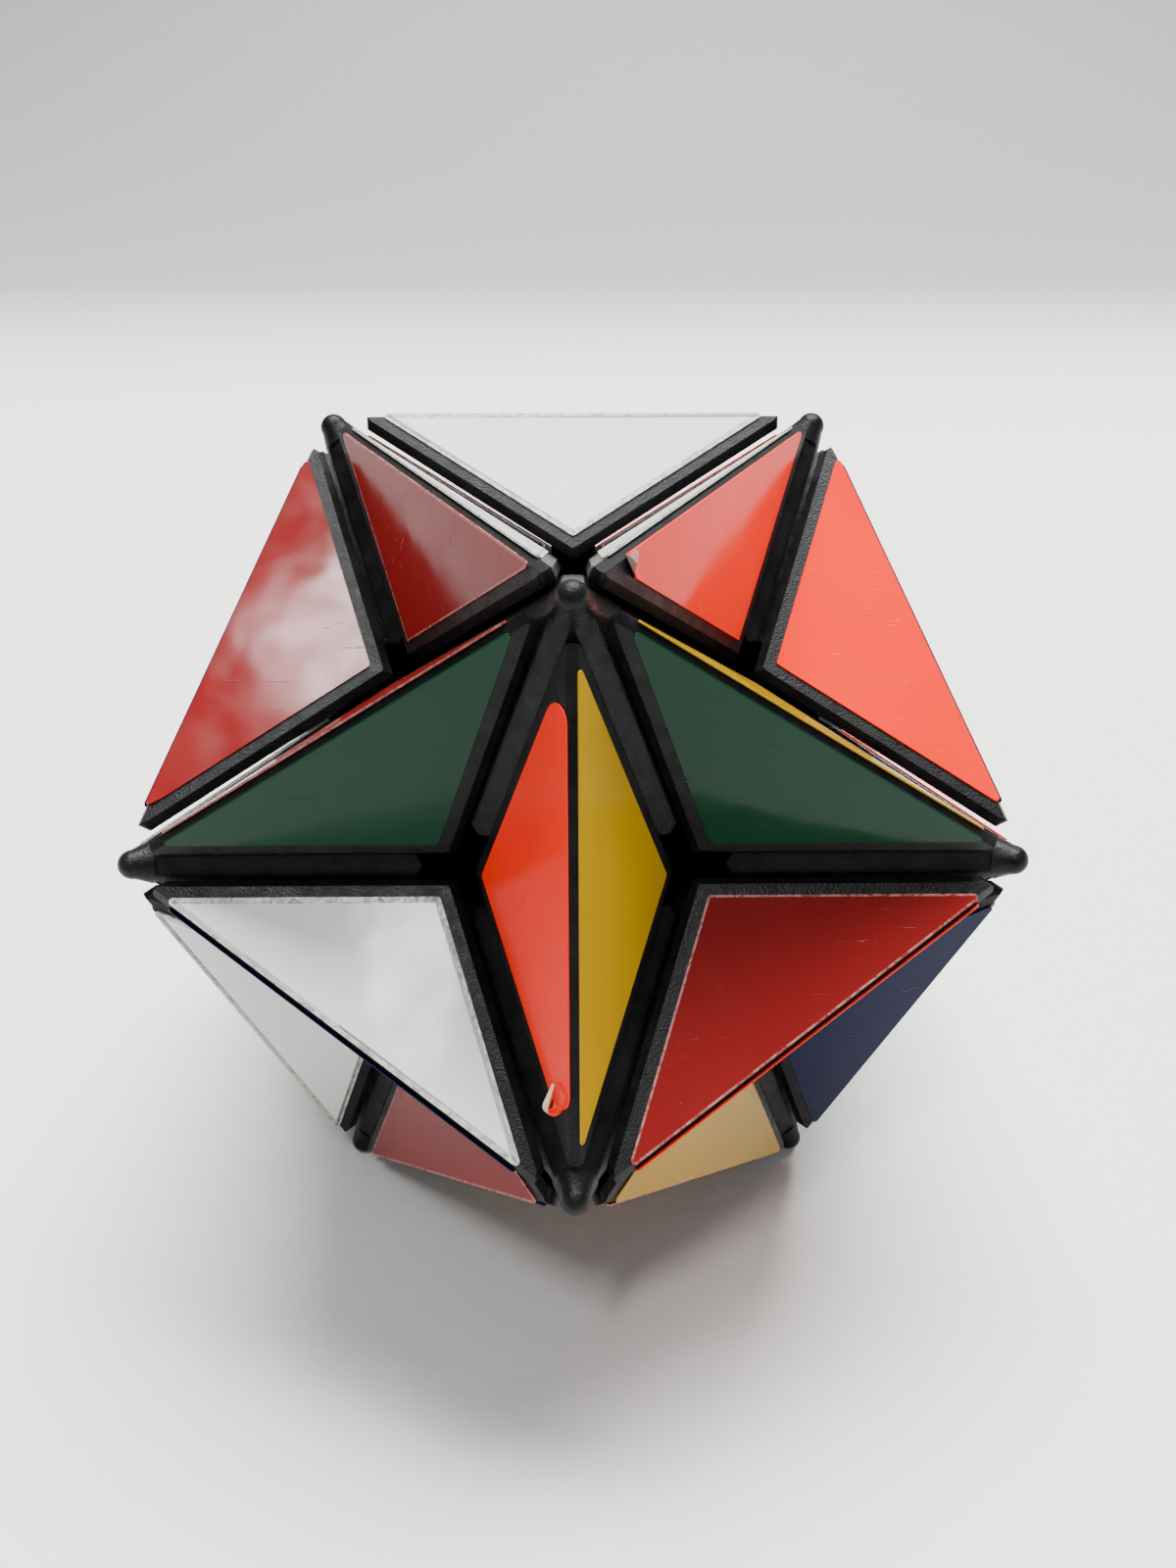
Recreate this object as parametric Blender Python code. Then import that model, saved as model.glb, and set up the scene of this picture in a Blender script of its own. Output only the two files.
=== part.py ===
"""Twelve-star twisty puzzle: 30 edge pieces, 12 centre pieces, 12 spindle screws, 2 core halves.

Each kind of piece is modelled once in millimetres about the centre of the puzzle, scaled
to metres, and placed by turning it about that centre."""
import math

import bmesh
import bpy
from mathutils import Matrix, Vector

MM = 0.001
R = 44.0  # centre of the puzzle to a sharp star tip
H = 0.4472136 * R  # distance of every star's cut plane from the centre
GAP = 0.25  # clearance on each side of a cut plane
STICKER_LAND = 0.35  # facets sit this far under the star faces, under the vinyl
INSET = 1.1  # wedge outline inset from the full rhombus
TIP_R = 0.75  # rounding of the two sharp ends of a wedge
OBTUSE_R = 0.6  # rounding of the two blunt corners
CREST = 0.45  # half width of the flat on a wedge's crest
FOOT_TOP = 15.4
FOOT_BOTTOM = 13.0
FOOT_HALF_LEN = math.radians(15.5)
FOOT_HALF_WID = math.radians(8.0)
NECK_X, NECK_Y = 2.0, 2.1
CENTRE_FLOOR = 16.0
CENTRE_TRIM = 2.8
RIDGE_FLAT = 0.85  # half width of the flat on a centre piece's ridge
NOSE_R, NOSE_Z = 1.2, 41.3  # rounded nose at the star tip
NOSE_FLARE = 1.72  # its radius where it runs into the skirt, 1.3 mm further in
BOSS_R, BOSS_Z = 2.9, 12.95
BORE_R, BORE_TOP = 1.6, 22.0
SHANK_R, HEAD_R = 1.25, 2.0
CORE_OUT, CORE_IN, CORE_HOLE = 12.5, 10.0, 1.65
CORE_SPLIT = 0.15

# the twelve star tips in four rings, with a three-fold axis upright; azimuth 0 is the front, -Y
ZT, ZM, RT, RM = 0.7946545, 0.1875925, 0.6070619, 0.9822469


def tip(r, z, azimuth):
    a = math.radians(azimuth)
    return Vector((r * math.sin(a), -r * math.cos(a), z)).normalized()


TIPS = {
    "top_front": tip(RT, ZT, 0),
    "top_right": tip(RT, ZT, 120),
    "top_left": tip(RT, ZT, -120),
    "upper_right": tip(RM, ZM, 60),
    "upper_left": tip(RM, ZM, -60),
    "upper_back": tip(RM, ZM, 180),
    "lower_front": tip(RM, -ZM, 0),
    "lower_right": tip(RM, -ZM, 120),
    "lower_left": tip(RM, -ZM, -120),
    "base_right": tip(RT, -ZT, 60),
    "base_left": tip(RT, -ZT, -60),
    "base_back": tip(RT, -ZT, 180),
}
NAMES = list(TIPS)
EDGES = [
    (a, b)
    for i, a in enumerate(NAMES)
    for b in NAMES[i + 1 :]
    if abs(TIPS[a].dot(TIPS[b]) - 0.4472136) < 1e-3
]


def frame(z, x):
    """Rotation whose columns are x, z cross x and z."""
    z = z.normalized()
    x = (x - x.dot(z) * z).normalized()
    y = z.cross(x)
    return Matrix((x, y, z)).transposed().to_4x4()


def keep_below(planes, size=60.0):
    """The convex solid on the low side of every plane, each given as (normal, distance)."""
    bm = bmesh.new()
    bmesh.ops.create_cube(bm, size=2 * size)
    for n, d in planes:
        n = Vector(n)
        d = d / n.length
        n = n.normalized()
        cut = bmesh.ops.bisect_plane(
            bm,
            geom=bm.verts[:] + bm.edges[:] + bm.faces[:],
            dist=1e-6,
            plane_co=n * d,
            plane_no=n,
            clear_outer=True,
        )
        rim = [
            e
            for e in cut["geom_cut"]
            if isinstance(e, bmesh.types.BMEdge) and len(e.link_faces) == 1
        ]
        if rim:
            bmesh.ops.contextual_create(bm, geom=rim)
    bmesh.ops.recalc_face_normals(bm, faces=bm.faces)
    return bm


def as_object(name, bm):
    mesh = bpy.data.meshes.new(name)
    bm.to_mesh(mesh)
    bm.free()
    obj = bpy.data.objects.new(name, mesh)
    bpy.context.scene.collection.objects.link(obj)
    return obj


def boolean(target, other, kind):
    mod = target.modifiers.new(kind.lower(), "BOOLEAN")
    mod.operation = kind
    mod.solver = "EXACT"
    mod.object = other
    depsgraph = bpy.context.evaluated_depsgraph_get()
    mesh = bpy.data.meshes.new_from_object(target.evaluated_get(depsgraph))
    target.modifiers.clear()
    target.data = mesh
    bpy.data.objects.remove(other)
    bm = bmesh.new()
    bm.from_mesh(mesh)
    bmesh.ops.remove_doubles(bm, verts=bm.verts, dist=1e-4)
    bmesh.ops.dissolve_limit(
        bm, angle_limit=math.radians(0.2), verts=bm.verts, edges=bm.edges
    )
    bmesh.ops.triangulate(bm, faces=bm.faces)
    bm.to_mesh(mesh)
    bm.free()
    return target


def outline_planes(half_x, half_y):
    """Side planes of the inset rhombus, with its four corners rounded."""
    lean = math.atan2(half_x, half_y)  # direction of a side's normal from X
    base = half_x * math.cos(lean) - INSET
    planes = []
    for sx in (1, -1):
        for sy in (1, -1):
            planes.append(((sx * math.cos(lean), sy * math.sin(lean), 0), base))
    tip_x = base / math.cos(lean) - TIP_R / math.cos(lean)
    for k in (-2, -1, 0, 1, 2):
        a = lean * k / 2.5
        for s in (1, -1):
            planes.append(
                ((s * math.cos(a), s * math.sin(a), 0), tip_x * math.cos(a) + TIP_R)
            )
    blunt_y = base / math.sin(lean) - OBTUSE_R / math.sin(lean)
    for k in (-1, 0, 1):
        a = (math.pi / 2 - lean) * k / 1.8
        for s in (1, -1):
            planes.append(
                (
                    (s * math.sin(a), s * math.cos(a), 0),
                    blunt_y * math.cos(a) + OBTUSE_R,
                )
            )
    return planes


# an edge piece, modelled with its crest along X and its outward direction Z
SX, CX = math.sin(math.radians(31.7174744)), math.cos(math.radians(31.7174744))
U, V = Vector((SX, 0, CX)), Vector((-SX, 0, CX))
X1, X2 = Vector((0, CX, SX)), Vector((0, -CX, SX))
HALF_X = R * SX
HALF_Y = HALF_X * math.tan(math.radians(20.9051574))


def edge_mesh():
    facet = H - STICKER_LAND
    crest_z = (facet - CX * CREST) / SX
    planes = [
        (-U, -(H + GAP)),
        (-V, -(H + GAP)),
        (X1, facet),
        (X2, facet),
        ((0, 0, 1), crest_z),
    ] + outline_planes(HALF_X, HALF_Y)
    wedge = as_object("edge piece", keep_below(planes))
    neck = as_object(
        "neck",
        keep_below(
            [
                ((1, 0, 0), NECK_X),
                ((-1, 0, 0), NECK_X),
                ((0, 1, 0), NECK_Y),
                ((0, -1, 0), NECK_Y),
                ((0, 0, 1), 27.0),
                ((0, 0, -1), -14.0),
            ]
        ),
    )
    foot_planes = [(U, FOOT_TOP), (V, FOOT_TOP), ((0, 0, -1), -FOOT_BOTTOM)]
    for s in (1, -1):
        foot_planes.append(
            ((s * math.cos(FOOT_HALF_LEN), 0, -math.sin(FOOT_HALF_LEN)), 0)
        )
        foot_planes.append(
            ((0, s * math.cos(FOOT_HALF_WID), -math.sin(FOOT_HALF_WID)), 0)
        )
    foot = as_object("foot", keep_below(foot_planes))
    piece = boolean(wedge, neck, "UNION")
    piece = boolean(piece, foot, "UNION")
    mesh = piece.data
    bpy.data.objects.remove(piece)
    return mesh


def centre_mesh():
    """A centre piece, modelled with its outward direction Z and a neighbour towards +X."""
    near = [
        Vector((0.8944272 * math.cos(a), 0.8944272 * math.sin(a), 0.4472136))
        for a in (math.radians(72 * k) for k in range(5))
    ]
    up = Vector((0, 0, 1))
    planes = [(n, H - GAP) for n in near]
    planes += [((0, 0, -1), -CENTRE_FLOOR), ((0, 0, 1), 41.9)]
    planes += [(-(up - n).normalized(), -CENTRE_TRIM) for n in near]
    for k in range(5):
        a, b = near[k], near[(k + 1) % 5]
        ridge = (a + b).normalized()
        # distance of the sharp ridge line from the centre, less what the flat takes off
        half = math.acos(a.dot(b)) / 2
        top = (H - GAP) / math.cos(half)
        planes.append((ridge, top - RIDGE_FLAT * math.tan(half)))
    body = as_object("centre piece", keep_below(planes))
    arc = [math.radians(a) for a in (0, 30, 60)]
    profile = [(0, NOSE_Z - 2.4), (NOSE_FLARE, NOSE_Z - 1.3)]
    profile += [(NOSE_R * math.cos(a), NOSE_Z + NOSE_R * math.sin(a)) for a in arc]
    profile.append((0, NOSE_Z + NOSE_R))
    body = boolean(body, as_object("nose", lathe(profile, 10)), "UNION")
    bm = bmesh.new()
    bmesh.ops.create_cone(
        bm,
        cap_ends=True,
        segments=15,
        radius1=BOSS_R,
        radius2=BOSS_R,
        depth=5.0,
        matrix=Matrix.Translation((0, 0, BOSS_Z + 2.5)),
    )
    body = boolean(body, as_object("boss", bm), "UNION")
    bm = bmesh.new()
    bmesh.ops.create_cone(
        bm,
        cap_ends=True,
        segments=15,
        radius1=BORE_R,
        radius2=BORE_R,
        depth=BORE_TOP - 10.0,
        matrix=Matrix.Translation((0, 0, (BORE_TOP + 10.0) / 2)),
    )
    body = boolean(body, as_object("bore", bm), "DIFFERENCE")
    mesh = body.data
    bpy.data.objects.remove(body)
    return mesh


def lathe(profile, segments):
    """Closed solid of revolution about Z from (radius, z) points that start and end on the axis."""
    bm = bmesh.new()
    rings = []
    for r, z in profile:
        if r == 0:
            rings.append([bm.verts.new((0, 0, z))])
        else:
            rings.append(
                [
                    bm.verts.new(
                        (
                            r * math.cos(math.tau * k / segments),
                            r * math.sin(math.tau * k / segments),
                            z,
                        )
                    )
                    for k in range(segments)
                ]
            )
    for lo, hi in zip(rings, rings[1:]):
        for k in range(segments):
            n = (k + 1) % segments
            if len(lo) == 1:
                bm.faces.new((lo[0], hi[k], hi[n]))
            elif len(hi) == 1:
                bm.faces.new((lo[k], hi[0], lo[n]))
            else:
                bm.faces.new((lo[k], hi[k], hi[n], lo[n]))
    bmesh.ops.recalc_face_normals(bm, faces=bm.faces)
    return bm


def spindle_mesh():
    obj = as_object(
        "spindle",
        lathe(
            [
                (0, 5.0),
                (1.6, 5.0),
                (HEAD_R, 5.35),
                (HEAD_R, 6.5),
                (SHANK_R, 6.5),
                (SHANK_R, 19.5),
                (0.8, 20.0),
                (0, 20.0),
            ],
            12,
        ),
    )
    mesh = obj.data
    bpy.data.objects.remove(obj)
    return mesh


def core_half(name, axis, turn):
    """Half of the hollow ball on the side of axis, with holes for the spindles."""
    arc = []
    steps = 6
    for k in range(steps + 1):
        a = math.pi / 2 * k / steps
        arc.append((a, math.sin(a)))
    lift = CORE_SPLIT
    outer = [
        (CORE_OUT * math.cos(a), max(CORE_OUT * s, lift)) for a, s in arc
    ]
    inner = [(CORE_IN * math.cos(a), max(CORE_IN * s, lift)) for a, s in arc]
    outer[0] = (math.sqrt(CORE_OUT**2 - lift**2), lift)
    inner[0] = (math.sqrt(CORE_IN**2 - lift**2), lift)
    outer[-1], inner[-1] = (0, CORE_OUT), (0, CORE_IN)
    profile = list(reversed(inner)) + outer
    shell = as_object(name, lathe(profile, 20))
    pole = axis.normalized()
    shell.data.transform(frame(pole, turn))
    for t in TIPS.values():
        if t.dot(pole) < 0.2:
            continue
        bm = bmesh.new()
        bmesh.ops.create_cone(
            bm,
            cap_ends=True,
            segments=12,
            radius1=CORE_HOLE,
            radius2=CORE_HOLE,
            depth=6.0,
            matrix=frame(t, turn if abs(t.dot(turn)) < 0.9 else pole)
            @ Matrix.Translation((0, 0, 11.0)),
        )
        shell = boolean(shell, as_object("hole", bm), "DIFFERENCE")
    return shell


def material(name, colour, roughness, metallic=0.0):
    mat = bpy.data.materials.new(name)
    mat.use_nodes = True
    shader = mat.node_tree.nodes["Principled BSDF"]
    shader.inputs["Base Color"].default_value = (*colour, 1.0)
    shader.inputs["Roughness"].default_value = roughness
    shader.inputs["Metallic"].default_value = metallic
    return mat


def finished(mesh, mat):
    """The mesh in metres, with its material."""
    mesh.transform(Matrix.Scale(MM, 4))
    mesh.materials.clear()
    mesh.materials.append(mat)
    return mesh


def place(name, mesh, rotation):
    """A piece whose origin is the centre of the puzzle, which every turning axis passes through."""
    obj = bpy.data.objects.new(name, mesh.copy())
    bpy.context.scene.collection.objects.link(obj)
    obj.parent = hub
    obj.matrix_local = rotation
    return obj


for obj in list(bpy.data.objects):
    bpy.data.objects.remove(obj, do_unlink=True)

black = material("black_plastic", (0.012, 0.012, 0.013), 0.42)
core_black = material("core_plastic", (0.03, 0.03, 0.032), 0.6)
steel = material("steel", (0.6, 0.6, 0.6), 0.35, 1.0)
edge = finished(edge_mesh(), black)
centre = finished(centre_mesh(), black)
spindle = finished(spindle_mesh(), steel)

# the puzzle stands on three noses, so its centre is this high
hub = bpy.data.objects.new("hub", None)
bpy.context.scene.collection.objects.link(hub)
lowest = min((frame(TIPS[n], TIPS[m]) @ v.co).z
             for n, m in [("base_back", "base_right")] for v in centre.vertices)
hub.location = (0, 0, -lowest)

for a, b in EDGES:
    u, v = TIPS[a], TIPS[b]
    place(f"edge_piece_{a}_to_{b}", edge, frame(u + v, u - v))
for n in NAMES:
    t = TIPS[n]
    near = next(o for o in TIPS.values() if abs(o.dot(t) - 0.4472136) < 1e-3)
    place(f"centre_piece_{n}", centre, frame(t, near))
    place(f"spindle_screw_{n}", spindle, frame(t, near))
pole = TIPS["top_front"]
turn = TIPS["top_right"]
for name, side in (("core_half_front", 1), ("core_half_back", -1)):
    half = core_half(name, side * pole, side * turn)
    finished(half.data, core_black)
    half.parent = hub
bpy.context.view_layer.update()
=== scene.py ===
"""The twelve-star twisty puzzle's looks: finer wedges and centre pieces, stickers and springs,
each riding on its CAD body, with the camera, floor and light."""

import math

import bmesh
import bpy
from mathutils import Matrix, Vector


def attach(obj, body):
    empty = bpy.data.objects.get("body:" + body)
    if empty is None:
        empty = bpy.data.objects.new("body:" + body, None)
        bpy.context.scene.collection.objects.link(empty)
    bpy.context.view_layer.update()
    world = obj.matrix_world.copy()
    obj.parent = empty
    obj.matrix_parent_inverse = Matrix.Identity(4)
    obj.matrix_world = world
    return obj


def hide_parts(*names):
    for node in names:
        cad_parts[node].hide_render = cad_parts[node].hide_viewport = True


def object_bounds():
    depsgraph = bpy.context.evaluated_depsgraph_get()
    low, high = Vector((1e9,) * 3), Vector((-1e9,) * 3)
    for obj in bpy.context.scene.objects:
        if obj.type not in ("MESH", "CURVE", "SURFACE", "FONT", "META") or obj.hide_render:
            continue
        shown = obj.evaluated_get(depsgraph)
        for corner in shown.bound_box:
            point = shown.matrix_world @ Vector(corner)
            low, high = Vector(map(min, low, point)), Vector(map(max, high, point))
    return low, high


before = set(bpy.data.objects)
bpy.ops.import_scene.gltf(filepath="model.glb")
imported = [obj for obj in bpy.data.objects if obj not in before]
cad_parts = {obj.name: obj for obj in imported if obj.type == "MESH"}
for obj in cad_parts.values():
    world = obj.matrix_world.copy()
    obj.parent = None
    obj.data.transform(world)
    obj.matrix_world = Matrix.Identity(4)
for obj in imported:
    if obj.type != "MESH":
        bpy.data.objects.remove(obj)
cad_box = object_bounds()

# ---- sizes, in millimetres, as in the CAD part -------------------------------------------
MM = 0.001
R = 44.0  # centre of the puzzle to a sharp star tip
H = 0.4472136 * R  # distance of every star's cut plane from the centre
GAP = 0.25
STICKER_LAND = 0.35
INSET, TIP_R, OBTUSE_R, CREST = 1.1, 0.75, 0.6, 0.45
FOOT_TOP, FOOT_BOTTOM = 15.4, 13.0
FOOT_HALF_LEN, FOOT_HALF_WID = math.radians(15.5), math.radians(8.0)
NECK_X, NECK_Y = 2.0, 2.1
NECK_TOP, NECK_BOTTOM = 27.0, 14.0
CENTRE_FLOOR, CENTRE_TOP, CENTRE_TRIM = 16.0, 41.9, 2.8
RIDGE_FLAT = 0.85
NOSE_R, NOSE_Z, NOSE_FLARE = 1.2, 41.3, 1.72
BOSS_R, BOSS_Z, BOSS_TOP = 2.9, 12.95, 17.5
ROUND = 30  # sides of a nose or boss
EDGE_ROUND = 0.2  # rounding of the moulded edges
VINYL = 0.15  # thickness of a sticker
SIDE_MARGIN, CREST_MARGIN = 0.95, 0.6  # bare plastic around a sticker
STICKER_CORNER = 0.3
BLUNT_TIP = 1.1  # extra rounding of the sticker that has lost its points
SLICE = 0.7  # a sticker is sliced this finely along its length, so that it can curl

# heights and radii of the outer and the middle star points, for a unit icosahedron on a face
ZT, ZM, RT, RM = 0.7946545, 0.1875925, 0.6070619, 0.9822469
COS_NEXT = 0.4472136  # between neighbouring tips
HALF_ANGLE = math.radians(31.7174744)  # half of that between neighbouring tips
SX, CX = math.sin(HALF_ANGLE), math.cos(HALF_ANGLE)
HALF_X = R * SX
HALF_Y = HALF_X * math.tan(math.radians(20.9051574))
CENTRE = Vector((0, 0, (cad_box[0][2] + cad_box[1][2]) / 2))


def tip(r, z, azimuth):
    a = math.radians(azimuth)
    return Vector((r * math.sin(a), -r * math.cos(a), z)).normalized()


TIPS = {
    "top_front": tip(RT, ZT, 0),
    "top_right": tip(RT, ZT, 120),
    "top_left": tip(RT, ZT, -120),
    "upper_right": tip(RM, ZM, 60),
    "upper_left": tip(RM, ZM, -60),
    "upper_back": tip(RM, ZM, 180),
    "lower_front": tip(RM, -ZM, 0),
    "lower_right": tip(RM, -ZM, 120),
    "lower_left": tip(RM, -ZM, -120),
    "base_right": tip(RT, -ZT, 60),
    "base_left": tip(RT, -ZT, -60),
    "base_back": tip(RT, -ZT, 180),
}
NAMES = list(TIPS)


def neighbours(a, b):
    return abs(TIPS[a].dot(TIPS[b]) - COS_NEXT) < 1e-3


EDGES = [(a, b) for i, a in enumerate(NAMES) for b in NAMES[i + 1 :] if neighbours(a, b)]


def turned(z, x):
    """Rotation whose Z column is z and whose X column is x, squared up."""
    z = z.normalized()
    x = (x - x.dot(z) * z).normalized()
    return Matrix((x, z.cross(x), z)).transposed().to_4x4()


def placed(rotation):
    """From millimetres about the puzzle's centre to metres in the row's frame."""
    return Matrix.Translation(CENTRE) @ rotation @ Matrix.Scale(MM, 4)


# ---- mesh helpers ------------------------------------------------------------------------
def keep_below(planes, size=60.0):
    """The convex solid on the low side of every plane, each given as (normal, distance)."""
    bm = bmesh.new()
    bmesh.ops.create_cube(bm, size=2 * size)
    for n, d in planes:
        n = Vector(n)
        d, n = d / n.length, n.normalized()
        cut = bmesh.ops.bisect_plane(
            bm,
            geom=bm.verts[:] + bm.edges[:] + bm.faces[:],
            dist=1e-6,
            plane_co=n * d,
            plane_no=n,
            clear_outer=True,
        )
        rim = [
            e
            for e in cut["geom_cut"]
            if isinstance(e, bmesh.types.BMEdge) and len(e.link_faces) == 1
        ]
        if rim:
            bmesh.ops.contextual_create(bm, geom=rim)
    bmesh.ops.recalc_face_normals(bm, faces=bm.faces)
    return bm


def rounded(bm, width, segments, sharper_than=24):
    """Bevels the edges that turn by more than an angle."""
    limit = math.radians(sharper_than)
    sharp = [e for e in bm.edges if e.is_manifold and e.calc_face_angle(0) > limit]
    bmesh.ops.bevel(
        bm,
        geom=sharp,
        offset=width,
        offset_type="OFFSET",
        segments=segments,
        profile=0.5,
        affect="EDGES",
        clamp_overlap=True,
    )
    return bm


def to_mesh(name, bm):
    mesh = bpy.data.meshes.new(name)
    bm.to_mesh(mesh)
    bm.free()
    return mesh


def to_object(name, bm):
    obj = bpy.data.objects.new(name, to_mesh(name, bm))
    bpy.context.scene.collection.objects.link(obj)
    return obj


def joined(target, *others):
    """The union of closed solids as one mesh."""
    for other in others:
        mod = target.modifiers.new("join", "BOOLEAN")
        mod.operation, mod.solver, mod.object = "UNION", "EXACT", other
        depsgraph = bpy.context.evaluated_depsgraph_get()
        mesh = bpy.data.meshes.new_from_object(target.evaluated_get(depsgraph))
        target.modifiers.clear()
        target.data = mesh
        bpy.data.objects.remove(other)
    mesh = target.data
    bpy.data.objects.remove(target)
    return mesh


def lathe(profile, segments):
    """Closed solid of revolution about Z from (radius, z) points that start and end on it."""
    bm = bmesh.new()
    rings = []
    for r, z in profile:
        turns = [math.tau * k / segments for k in range(segments)] if r else [0]
        rings.append([bm.verts.new((r * math.cos(t), r * math.sin(t), z)) for t in turns])
    for lo, hi in zip(rings, rings[1:]):
        for k in range(segments):
            n = (k + 1) % segments
            quad = (lo[k % len(lo)], hi[k % len(hi)], hi[n % len(hi)], lo[n % len(lo)])
            bm.faces.new(dict.fromkeys(quad))
    bmesh.ops.recalc_face_normals(bm, faces=bm.faces)
    return bm


def show(name, mesh, matrix, body, mats, smooth_under=None):
    """A copy of a mesh in its place, riding on a body."""
    mesh = mesh.copy()
    mesh.name = name
    mesh.transform(matrix)
    for mat in mats:
        mesh.materials.append(mat)
    obj = bpy.data.objects.new(name, mesh)
    bpy.context.scene.collection.objects.link(obj)
    if smooth_under:
        mesh.set_sharp_from_angle(angle=math.radians(smooth_under))
        for poly in mesh.polygons:
            poly.use_smooth = True
        weighted = obj.modifiers.new("flat faces stay flat", "WEIGHTED_NORMAL")
        weighted.keep_sharp = True
    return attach(obj, body)


# ---- materials ---------------------------------------------------------------------------
class Nodes:
    """A Principled material with a short way to add nodes to it."""

    def __init__(self, name, colour, roughness, **sockets):
        self.mat = bpy.data.materials.new(name)
        self.mat.use_nodes = True
        self.tree = self.mat.node_tree
        self.shader = self.tree.nodes["Principled BSDF"]
        self.set("Base Color", (*colour, 1.0))
        self.set("Roughness", roughness)
        for socket, value in sockets.items():
            self.set(socket.replace("_", " "), value)
        self.place = self.tree.nodes.new("ShaderNodeTexCoord").outputs["Object"]

    def set(self, socket, value):
        self.shader.inputs[socket].default_value = value

    def noise(self, scale, detail=3.0, distortion=0.0, stretch=None):
        node = self.tree.nodes.new("ShaderNodeTexNoise")
        node.inputs["Scale"].default_value = scale
        node.inputs["Detail"].default_value = detail
        node.inputs["Distortion"].default_value = distortion
        source = self.place
        if stretch:
            mapping = self.tree.nodes.new("ShaderNodeMapping")
            mapping.inputs["Scale"].default_value = stretch
            mapping.inputs["Rotation"].default_value = (0.5, 0.9, 0.3)
            self.tree.links.new(source, mapping.inputs["Vector"])
            source = mapping.outputs["Vector"]
        self.tree.links.new(source, node.inputs["Vector"])
        return node.outputs["Fac"]

    def ramp(self, fac, *stops):
        """Colours or grey values spread along a factor."""
        node = self.tree.nodes.new("ShaderNodeValToRGB")
        ends = node.color_ramp.elements
        while len(ends) < len(stops):
            ends.new(0.5)
        for element, (at, value) in zip(ends, stops):
            element.position = at
            rgb = value if isinstance(value, tuple) else (value,) * 3
            element.color = (*rgb, 1.0)
        self.tree.links.new(fac, node.inputs["Fac"])
        return node.outputs["Color"]

    def link(self, output, socket):
        self.tree.links.new(output, self.shader.inputs[socket])

    def bump(self, *layers):
        """Each layer is (height output, distance in metres)."""
        normal = None
        for height, distance in layers:
            node = self.tree.nodes.new("ShaderNodeBump")
            node.inputs["Distance"].default_value = distance
            self.tree.links.new(height, node.inputs["Height"])
            if normal:
                self.tree.links.new(normal, node.inputs["Normal"])
            normal = node.outputs["Normal"]
        self.link(normal, "Normal")
        return self.mat


def scaled(colour, by):
    return tuple(c * by for c in colour)


def black_plastic():
    m = Nodes("black_plastic_worn", (0.006, 0.006, 0.007), 0.4, Specular_IOR_Level=0.12)
    patches = m.noise(420, 6.0)
    dark, worn = (0.003, 0.003, 0.0035), (0.009, 0.009, 0.010)
    m.link(m.ramp(patches, (0.35, dark), (0.75, worn)), "Base Color")
    m.link(m.ramp(m.noise(900, 6.0), (0.3, 0.27), (0.7, 0.5)), "Roughness")
    return m.bump((m.noise(5200, 2.0), 0.00005), (m.noise(1400, 3.0), 0.00001))


def core_plastic():
    m = Nodes("core_plastic_moulded", (0.03, 0.03, 0.032), 0.6)
    m.link(m.ramp(m.noise(600, 4.0), (0.3, 0.5), (0.7, 0.7)), "Roughness")
    return m.bump((m.noise(3000, 2.0), 0.00005))


def steel():
    m = Nodes("zinc_plated_steel", (0.6, 0.6, 0.58), 0.34, Metallic=1.0)
    m.link(m.ramp(m.noise(1500, 5.0), (0.3, 0.25), (0.7, 0.45)), "Roughness")
    return m.bump((m.noise(2500, 2.0), 0.00002))


VINYL_COLOURS = {
    "white": (0.74, 0.77, 0.75),
    "red": (0.18, 0.010, 0.010),
    "orange": (0.78, 0.014, 0.002),
    "green": (0.001, 0.030, 0.013),
    "yellow": (0.38, 0.215, 0.001),
    "blue": (0.002, 0.005, 0.034),
}


def vinyl(name, colour):
    """Glossy printed vinyl with a slight ripple, handling marks and fine scratches."""
    m = Nodes(f"vinyl_{name}", colour, 0.2, Specular_IOR_Level=0.12)
    tone = m.noise(45, 3.0)
    m.link(m.ramp(tone, (0.3, scaled(colour, 0.92)), (0.7, scaled(colour, 1.06))), "Base Color")
    m.link(m.ramp(m.noise(160, 6.0, 0.6), (0.35, 0.09), (0.75, 0.2)), "Roughness")
    scratches = m.ramp(m.noise(420, 2.0, 0.3, (1.0, 14.0, 1.0)), (0.70, 0.0), (0.74, 1.0))
    return m.bump((m.noise(110, 2.0), 0.00010), (scratches, 0.000012))


def adhesive():
    """The pale underside of a sticker, seen where it has peeled."""
    m = Nodes("vinyl_back", (0.66, 0.42, 0.35), 0.45)
    dull, pale = (0.58, 0.36, 0.30), (0.74, 0.5, 0.42)
    m.link(m.ramp(m.noise(900, 4.0), (0.3, dull), (0.7, pale)), "Base Color")
    return m.bump((m.noise(1500, 2.0), 0.00003))


def worn_rim(name, colour, bare):
    """The rubbed and dirty border of an old sticker."""
    m = Nodes(f"vinyl_{name}_rim", colour, 0.4)
    rubbed = m.noise(1300, 6.0, 1.5)
    m.link(m.ramp(rubbed, (0.42, colour), (0.62, bare)), "Base Color")
    m.link(m.ramp(rubbed, (0.4, 0.25), (0.65, 0.6)), "Roughness")
    return m.bump((rubbed, 0.00004))


BLACK, CORE, STEEL, BACK = black_plastic(), core_plastic(), steel(), adhesive()
VINYLS = {name: vinyl(name, colour) for name, colour in VINYL_COLOURS.items()}
RIMS = {
    "white": worn_rim("white", (0.50, 0.51, 0.46), (0.24, 0.24, 0.21)),
    "red": worn_rim("red", (0.20, 0.014, 0.013), (0.36, 0.11, 0.09)),
}
RIM_WIDTH = {"white": 0.5, "red": 0.18}


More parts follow.
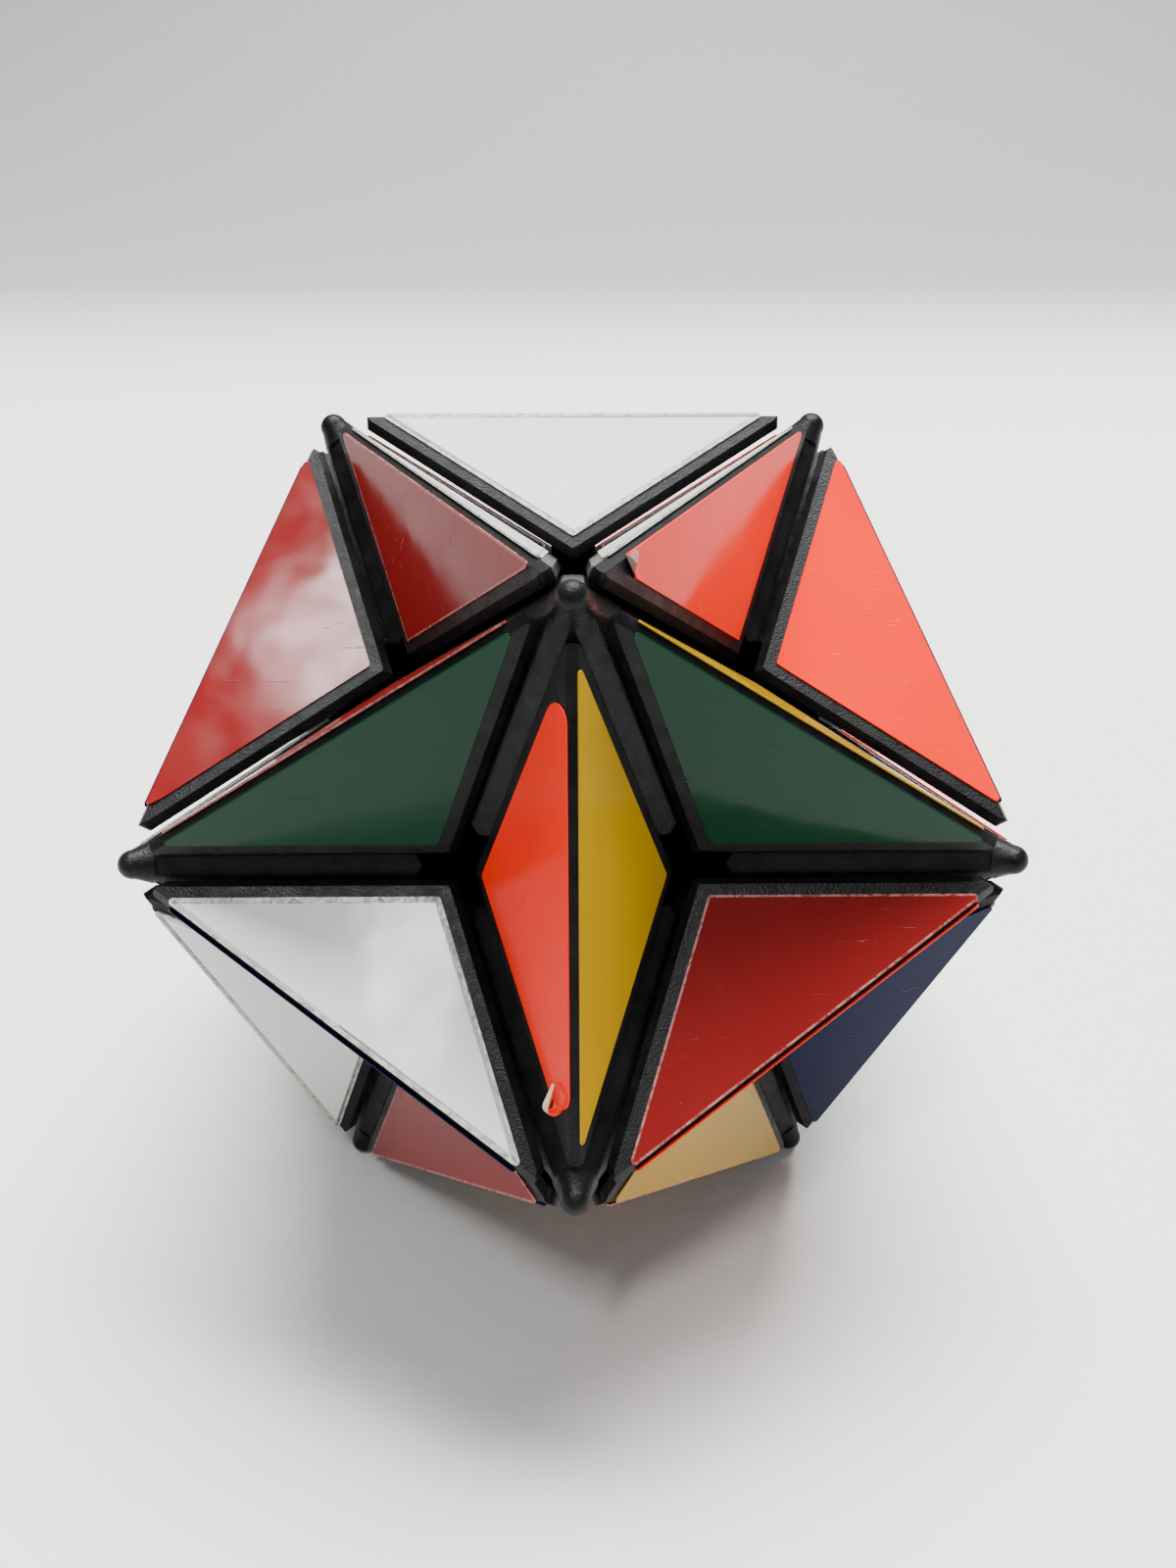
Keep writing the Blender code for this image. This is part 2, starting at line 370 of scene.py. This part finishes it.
# ---- edge pieces -------------------------------------------------------------------------
U, V = Vector((SX, 0, CX)), Vector((-SX, 0, CX))
FACETS = {1: Vector((0, CX, SX)), -1: Vector((0, -CX, SX))}
LEAN = math.atan2(HALF_X, HALF_Y)  # direction of an outline side's normal, from X
OUTLINE = HALF_X * math.cos(LEAN) - INSET


def outline_planes(tip_steps=8, blunt_steps=4):
    """The upright sides of a wedge: the inset rhombus with its four corners rounded."""
    planes = [
        ((sx * math.cos(LEAN), sy * math.sin(LEAN), 0), OUTLINE)
        for sx in (1, -1)
        for sy in (1, -1)
    ]
    tip_x = (OUTLINE - TIP_R) / math.cos(LEAN)
    for k in range(1, 2 * tip_steps):
        a = LEAN * (k / tip_steps - 1)
        for s in (1, -1):
            planes.append(((s * math.cos(a), s * math.sin(a), 0), tip_x * math.cos(a) + TIP_R))
    blunt_y = (OUTLINE - OBTUSE_R) / math.sin(LEAN)
    for k in range(1, 2 * blunt_steps):
        a = (math.pi / 2 - LEAN) * (k / blunt_steps - 1)
        for s in (1, -1):
            planes.append(
                ((s * math.sin(a), s * math.cos(a), 0), blunt_y * math.cos(a) + OBTUSE_R)
            )
    return planes


def edge_mesh():
    """Wedge, neck and foot as one moulding, with its crest along X and outwards Z."""
    facet = H - STICKER_LAND
    planes = [(-U, -(H + GAP)), (-V, -(H + GAP))]
    planes += [(n, facet) for n in FACETS.values()]
    planes += [((0, 0, 1), (facet - CX * CREST) / SX)] + outline_planes()
    wedge = to_object("wedge", rounded(keep_below(planes), EDGE_ROUND, 2))
    sides = [((1, 0, 0), NECK_X), ((-1, 0, 0), NECK_X), ((0, 1, 0), NECK_Y), ((0, -1, 0), NECK_Y)]
    ends = [((0, 0, 1), NECK_TOP), ((0, 0, -1), -NECK_BOTTOM)]
    neck = to_object("neck", keep_below(sides + ends))
    foot_planes = [(U, FOOT_TOP), (V, FOOT_TOP), ((0, 0, -1), -FOOT_BOTTOM)]
    for s in (1, -1):
        foot_planes.append(((s * math.cos(FOOT_HALF_LEN), 0, -math.sin(FOOT_HALF_LEN)), 0))
        foot_planes.append(((0, s * math.cos(FOOT_HALF_WID), -math.sin(FOOT_HALF_WID)), 0))
    foot = to_object("foot", rounded(keep_below(foot_planes), 0.15, 1))
    return joined(wedge, neck, foot)


# ---- centre pieces -----------------------------------------------------------------------
def centre_mesh():
    """Skirt with five flat ridges, rounded nose and boss, outwards along Z."""
    near = [
        Vector((2 * COS_NEXT * math.cos(a), 2 * COS_NEXT * math.sin(a), COS_NEXT))
        for a in (math.tau * k / 5 for k in range(5))
    ]
    up = Vector((0, 0, 1))
    planes = [(n, H - GAP) for n in near]
    planes += [((0, 0, -1), -CENTRE_FLOOR), ((0, 0, 1), CENTRE_TOP)]
    planes += [(-(up - n).normalized(), -CENTRE_TRIM) for n in near]
    half = math.acos(COS_NEXT) / 2
    for k in range(5):
        ridge = (near[k] + near[(k + 1) % 5]).normalized()
        planes.append((ridge, (H - GAP) / math.cos(half) - RIDGE_FLAT * math.tan(half)))
    skirt = to_object("skirt", rounded(keep_below(planes), 0.14, 2))
    arc = [math.radians(10 * k) for k in range(9)]
    profile = [(0, NOSE_Z - 2.4), (NOSE_FLARE, NOSE_Z - 1.3)]
    profile += [(NOSE_R * math.cos(a), NOSE_Z + NOSE_R * math.sin(a)) for a in arc]
    nose = to_object("nose", lathe(profile + [(0, NOSE_Z + NOSE_R)], ROUND))
    profile = [(0, BOSS_Z), (BOSS_R, BOSS_Z), (BOSS_R, BOSS_TOP), (0, BOSS_TOP)]
    boss = to_object("boss", lathe(profile, ROUND))
    return joined(skirt, nose, boss)


# ---- springs -----------------------------------------------------------------------------
def spring_mesh(coil_r=1.68, wire_r=0.16, low=6.75, high=9.7, turns=4, per_turn=18, around=7):
    bm = bmesh.new()
    rings = []
    count = turns * per_turn
    for i in range(count + 1):
        a = math.tau * i / per_turn
        out = Vector((math.cos(a), math.sin(a), 0))
        mid = out * coil_r + Vector((0, 0, low + wire_r + (high - low - 2 * wire_r) * i / count))
        rings.append(
            [
                bm.verts.new(
                    mid
                    + wire_r * (math.cos(b) * out + math.sin(b) * Vector((0, 0, 1)))
                )
                for b in (math.tau * j / around for j in range(around))
            ]
        )
    for lo, hi in zip(rings, rings[1:]):
        for j in range(around):
            n = (j + 1) % around
            bm.faces.new((lo[j], lo[n], hi[n], hi[j]))
    bm.faces.new(reversed(rings[0]))
    bm.faces.new(rings[-1])
    bmesh.ops.recalc_face_normals(bm, faces=bm.faces)
    return to_mesh("spring", bm)


# ---- stickers ----------------------------------------------------------------------------
def sticker_outline(blunt_tips=0.0):
    """A sticker's outline in its facet: x along the crest, s down the slope from it."""
    slope = math.radians(36)  # between the crest and a side of the sticker
    half = OUTLINE / math.cos(LEAN) - SIDE_MARGIN / math.sin(slope)
    half -= CREST_MARGIN / math.tan(slope)
    apex = half * math.tan(slope)
    corners = [
        (Vector((-half, 0)), STICKER_CORNER + blunt_tips),
        (Vector((half, 0)), STICKER_CORNER + blunt_tips),
        (Vector((0, apex)), STICKER_CORNER),
    ]
    points = []
    for i, (corner, radius) in enumerate(corners):
        before = (corners[i - 1][0] - corner).normalized()
        after = (corners[(i + 1) % 3][0] - corner).normalized()
        half_angle = before.angle(after) / 2
        middle = corner + (before + after).normalized() * radius / math.sin(half_angle)
        start = corner + before * radius / math.tan(half_angle) - middle
        sweep = math.pi - 2 * half_angle
        for k in range(7):
            a = sweep * k / 6
            turn = Matrix.Rotation(a, 2)
            points.append(middle + turn @ start)
    return [(p.x, p.y + CREST_MARGIN) for p in points]


def curl(point, hinge, direction, radius, most):
    """Rolls what lies beyond a line up and back over a roll of that radius."""
    d = (point.xy - Vector(hinge)).dot(Vector(direction))
    if d <= 0:
        return point
    a = min(d / radius, most)
    rest = d - a * radius
    along = radius * math.sin(a) + rest * math.cos(a)
    lift = radius * (1 - math.cos(a)) + rest * math.sin(a)
    tilt = point.z
    flat = point.xy + Vector(direction) * (along - d - tilt * math.sin(a))
    return Vector((*flat, lift + tilt * math.cos(a)))


def sticker_mesh(peels=(), blunt_tips=0.0, rim=0.0):
    """A thin slab in its facet's plane: x along the crest, y down the slope, z outwards.
    A worn rim of that width takes the third material."""
    bm = bmesh.new()
    outline = sticker_outline(blunt_tips)
    face = bm.faces.new([bm.verts.new((x, s, 0)) for x, s in outline])
    bmesh.ops.recalc_face_normals(bm, faces=[face])
    if face.normal.z < 0:
        bmesh.ops.reverse_faces(bm, faces=[face])
    reach = max(x for x, _ in outline)
    cuts = int(2 * reach / SLICE) if peels else 0
    for k in range(1, cuts):
        x = -reach + 2 * reach * k / cuts
        bmesh.ops.bisect_plane(
            bm,
            geom=bm.verts[:] + bm.edges[:] + bm.faces[:],
            plane_co=(x, 0, 0),
            plane_no=(1, 0, 0),
        )
    made = bmesh.ops.extrude_face_region(bm, geom=bm.faces[:])
    top = [v for v in made["geom"] if isinstance(v, bmesh.types.BMVert)]
    bmesh.ops.translate(bm, verts=top, vec=(0, 0, VINYL))
    bmesh.ops.recalc_face_normals(bm, faces=bm.faces)
    for f in bm.faces:
        f.material_index = 1 if f.normal.z < -0.5 and peels else 0
    if rim:
        for f in bm.faces:
            f.material_index = 2
        upper = [f for f in bm.faces if f.normal.z > 0.5]
        bmesh.ops.inset_region(bm, faces=upper, thickness=rim, use_even_offset=True)
        for f in upper:
            f.material_index = 0
    elif not peels:
        rounded(bm, 0.04, 1, 60)
    for peel in peels:
        for v in bm.verts:
            v.co = curl(v.co, *peel)
    return to_mesh("sticker", bm)


def facet_matrix(side):
    """From a facet's own plane to its edge piece: x along the crest, y down the slope."""
    out = FACETS[side]
    down = Vector((0, side * SX, -CX))
    x_axis = down.cross(out)
    crest = Vector((0, 0, (H - STICKER_LAND) / SX))
    m = Matrix((x_axis, down, out)).transposed().to_4x4()
    return Matrix.Translation(crest) @ m


# the facets in view from the front, each by the star point that it faces
SEEN = {
    ("top_front", "top_left"): {"top_right": "white", "upper_left": "red"},
    ("top_front", "top_right"): {"top_left": "white", "upper_right": "orange"},
    ("top_front", "upper_left"): {"top_left": "red", "lower_front": "green"},
    ("top_front", "upper_right"): {"top_right": "yellow", "lower_front": "green"},
    ("top_front", "lower_front"): {"upper_left": "orange", "upper_right": "yellow"},
    ("upper_left", "lower_front"): {"top_front": "white", "base_left": "blue"},
    ("upper_right", "lower_front"): {"top_front": "red", "base_right": "orange"},
    ("top_right", "upper_right"): {"top_front": "orange", "lower_right": "blue"},
    ("top_right", "top_left"): {"top_front": "white"},
    ("top_left", "upper_left"): {"top_front": "red"},
    ("upper_left", "base_left"): {"lower_front": "white"},
    ("upper_right", "base_right"): {"lower_front": "blue"},
    ("lower_front", "base_left"): {"upper_left": "red"},
    ("lower_front", "base_right"): {"upper_right": "yellow"},
}


def deal_colours():
    """Every pair of colours is on two pieces; the pairs not in view go to the hidden facets."""
    names = list(VINYL_COLOURS)
    left = [{a, b} for i, a in enumerate(names) for b in names[i + 1 :]] * 2
    dealt = {}
    seen = {frozenset(k): dict(v) for k, v in SEEN.items()}
    order = sorted(EDGES, key=lambda e: -len(seen.get(frozenset(e), {})))
    for a, b in order:
        facets = seen.get(frozenset((a, b)), {})
        sides = [n for n in NAMES if n not in (a, b) and neighbours(a, n) and neighbours(b, n)]
        fits = [p for p in left if set(facets.values()) <= p]
        pair = fits[(3 * len(dealt)) % len(fits)] if len(facets) < 2 else fits[0]
        left.remove(pair)
        spare = sorted(pair - set(facets.values()))
        for side in sides:
            if side not in facets:
                facets[side] = spare.pop()
        dealt[a, b] = facets
    return dealt


def toward(tip_name, edge):
    """+1 if that end of the crest is at the edge piece's +X end."""
    return 1 if tip_name == edge[0] else -1


def curled_tip(sense, strip=3.7, root=0.55, end=0.16, roll=0.6, steps=18):
    """The torn point of a blunt sticker: a narrow strip that has rolled out and back."""
    x, y = max(sticker_outline(BLUNT_TIP))
    start = Vector((x - 0.3, y))
    bm = bmesh.new()
    rows = []
    for k in range(steps + 1):
        along = strip * k / steps
        half = root + (end - root) * k / steps
        row = []
        for side, up in ((-half, 0), (half, 0), (half, VINYL), (-half, VINYL)):
            flat = Vector((start.x + along, start.y + side, up))
            bent = curl(flat, start, (1.0, 0.0), roll, math.radians(205))
            row.append(bm.verts.new((sense * bent.x, bent.y, bent.z)))
        rows.append(row)
    for lo, hi in zip(rows, rows[1:]):
        for j in range(4):
            n = (j + 1) % 4
            bm.faces.new((lo[j], lo[n], hi[n], hi[j])).material_index = 1 if j == 0 else 0
    bm.faces.new(reversed(rows[0]))
    bm.faces.new(rows[-1])
    bmesh.ops.recalc_face_normals(bm, faces=bm.faces)
    return to_mesh("curled_tip", bm)


def lifted(edge, facet):
    """For a sticker that has lifted: the star point at its loose end, the rolls there, each
    with how far along it starts, its direction, its radius and how far round it goes, and
    the extra rounding of the ends."""
    half = OUTLINE / math.cos(LEAN)
    if set(edge) == {"top_front", "top_right"} and facet == "upper_right":
        return "top_front", [(half - 4.6, 0.94, 0.34, 0.45, math.radians(168))], 0.0
    if set(edge) == {"top_front", "lower_front"} and facet == "upper_left":
        return "lower_front", [], BLUNT_TIP
    if set(edge) == {"top_left", "upper_left"} and facet == "top_front":
        return "upper_left", [(half - 3.6, 0.9, 0.43, 1.2, math.radians(40))], 0.0
    return None


# ---- build -------------------------------------------------------------------------------
def build_edges():
    wedge = edge_mesh()
    plain = sticker_mesh()
    worn = {name: sticker_mesh(rim=width) for name, width in RIM_WIDTH.items()}
    for edge, facets in deal_colours().items():
        a, b = edge
        name = f"{a}_to_{b}"
        spin = turned(TIPS[a] + TIPS[b], TIPS[a] - TIPS[b])
        body = f"edge_{name}"
        piece = show(f"edge_{name}_moulding", wedge, placed(spin), body, [BLACK], 40)
        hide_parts(f"edge_piece_{name}")
        for facet, colour in facets.items():
            side = 1 if (spin.inverted() @ TIPS[facet]).y > 0 else -1
            lay = facet_matrix(side)
            peel = lifted(edge, facet)
            mesh, mats = plain, [VINYLS[colour], BACK]
            if colour in RIMS and not peel:
                mesh, mats = worn[colour], mats + [RIMS[colour]]
            if peel:
                end, rolls, blunt = peel
                sense = toward(end, edge) * (1 if lay.col[0].x > 0 else -1)
                mesh = sticker_mesh(
                    [((sense * x, 0.6), (sense * dx, dy), r, t) for x, dx, dy, r, t in rolls],
                    blunt,
                )
            if peel and peel[2]:
                tail = curled_tip(sense)
                show(f"sticker_{name}_curled_tip", tail, placed(spin) @ lay, body, mats, 50)
            show(
                f"sticker_{name}_facing_{facet}_{colour}",
                mesh,
                placed(spin) @ lay,
                body,
                mats,
                50 if peel else None,
            )


def build_centres():
    centre = centre_mesh()
    spring = spring_mesh()
    for name in NAMES:
        near = next(n for n in NAMES if neighbours(n, name))
        where = placed(turned(TIPS[name], TIPS[near]))
        body = f"star_{name}"
        piece = show(f"centre_{name}_moulding", centre, where, body, [BLACK], 40)
        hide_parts(f"centre_piece_{name}")
        show(f"spring_{name}", spring, where, body, [STEEL], 60)


def dress_cad():
    """Better finishes on the hidden parts that keep their CAD shape."""
    for node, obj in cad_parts.items():
        finish = STEEL if node.startswith("spindle") else CORE
        if node.startswith(("spindle", "core")):
            for material_slot in obj.material_slots:
                material_slot.material = finish


# ---- stage -------------------------------------------------------------------------------
def sweep_floor():
    """A pale sheet that runs back and curves up behind. The vinyl on the lowest crests stands
    a hair lower than the noses, so the sheet is at the lowest point of all."""
    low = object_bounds()[0][2]
    bm = bmesh.new()
    front, back, bend, height, wide = -1.2, 0.42, 0.3, 1.4, 2.0
    profile = [(front, 0.0), (back, 0.0)]
    for k in range(1, 25):
        a = math.pi / 2 * k / 24
        profile.append((back + bend * math.sin(a), bend * (1 - math.cos(a))))
    profile.append((back + bend, height))
    rows = [[bm.verts.new((x, y, z + low)) for x in (-wide, wide)] for y, z in profile]
    for lo, hi in zip(rows, rows[1:]):
        bm.faces.new((lo[0], lo[1], hi[1], hi[0]))
    floor = to_object("floor_sheet", bm)
    for poly in floor.data.polygons:
        poly.use_smooth = True
    pale = (0.74, 0.735, 0.71)
    m = Nodes("pale_sheet", pale, 0.6)
    split = m.tree.nodes.new("ShaderNodeSeparateXYZ")
    m.tree.links.new(m.place, split.inputs["Vector"])
    # painted shade: from here the sheet's colour is darkened with distance back and up the curve,
    # standing in for the weaker light that falls there
    far = m.tree.nodes.new("ShaderNodeMapRange")
    far.inputs["From Min"].default_value = 0.22
    far.inputs["From Max"].default_value = 0.65
    m.tree.links.new(split.outputs["Y"], far.inputs["Value"])
    # painted shade steps: how much of the pale colour is kept at each distance back
    painted_shade_steps = ((0.0, 1.0), (0.15, 0.9), (0.48, 0.36), (1.0, 0.22))
    shade = m.ramp(far.outputs["Result"], *((at, scaled(pale, by)) for at, by in painted_shade_steps))
    m.link(shade, "Base Color")
    floor.data.materials.append(m.bump((m.noise(300, 3.0), 0.0002)))


def softbox(name, place, aim, size, power, colour=(1, 1, 1)):
    data = bpy.data.lights.new(name, "AREA")
    data.shape = "RECTANGLE"
    data.size, data.size_y = size
    data.energy = power
    data.color = colour
    obj = bpy.data.objects.new(name, data)
    bpy.context.scene.collection.objects.link(obj)
    obj.location = place
    obj.rotation_euler = (Vector(aim) - Vector(place)).to_track_quat("-Z", "Y").to_euler()
    return obj


def light():
    softbox("overhead", (0.1, 0.5, 1.3), (0, 0.05, 0), (1.2, 0.7), 98.0)
    softbox("front_fill", (0.25, -1.2, 1.15), (0, -0.1, 0), (1.3, 0.6), 2.5)
    lamp = softbox("ceiling_lamp", (-0.24, -0.22, 1.5), (0, 0, 0.03), (0.11, 0.34), 15.0)
    lamp.visible_diffuse = False  # it is there for its glare on the vinyl
    softbox("near_lamp", (-0.21, -0.66, 1.5), (0, 0, 0.03), (0.1, 0.3), 10.0)
    world = bpy.data.worlds.new("room")
    world.use_nodes = True
    background = world.node_tree.nodes["Background"]
    background.inputs["Color"].default_value = (0.95, 0.97, 1.0, 1.0)
    background.inputs["Strength"].default_value = 0.27
    bpy.context.scene.world = world


def camera():
    """A phone held close: a 64 degree view from about 14 cm, looking down 32.5 degrees."""
    data = bpy.data.cameras.new("camera")
    data.sensor_fit = "VERTICAL"
    data.sensor_height = 36.0
    data.lens = 28.76
    data.clip_start = 0.005
    obj = bpy.data.objects.new("camera", data)
    bpy.context.scene.collection.objects.link(obj)
    obj.location = (0.00036, -0.1013, 0.1008)
    obj.rotation_euler = (math.radians(90 - 32.52), 0, math.radians(-0.52))
    bpy.context.scene.camera = obj


build_edges()
build_centres()
dress_cad()
sweep_floor()
light()
camera()
